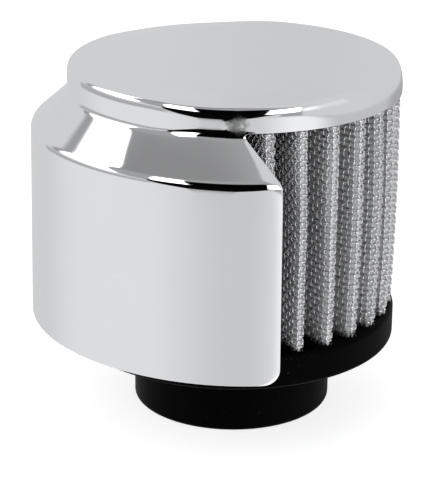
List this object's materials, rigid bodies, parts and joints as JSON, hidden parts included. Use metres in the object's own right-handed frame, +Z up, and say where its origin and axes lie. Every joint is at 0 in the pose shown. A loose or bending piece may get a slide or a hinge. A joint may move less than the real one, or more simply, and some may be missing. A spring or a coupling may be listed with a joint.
{
  "type": "crankcase breather filter",
  "caption": "Pleated wire-screen crankcase breather filter with a chromed cap, a half-round rain shield and a rubber neck that clamps over a tube.",
  "frame": {"origin": "on the neck's axis at the neck's lower end, where the tube goes in", "axes": "+Z up along the axis to the cap; the middle of the rain shield faces -Y; the open half of the element faces +Y"},
  "size_m": [0.0944, 0.0853, 0.0824],
  "materials": {
    "chromed_sheet": "mirror-bright chrome plate on pressed sheet steel",
    "potting": "cast urethane, satin",
    "wire_cloth": "bright drawn wire, woven",
    "gauze": "open cotton gauze",
    "clip_strip": "plain rolled strip",
    "black_rubber": "moulded, satin"
  },
  "bodies": {
    "root": {"cap_shield": "chromed_sheet", "end_bond": "potting", "outer_screen": "wire_cloth", "gauze_media": "gauze", "inner_screen": "wire_cloth", "seam_clip": "clip_strip", "rubber_base": "black_rubber"}
  },
  "joints": []
}
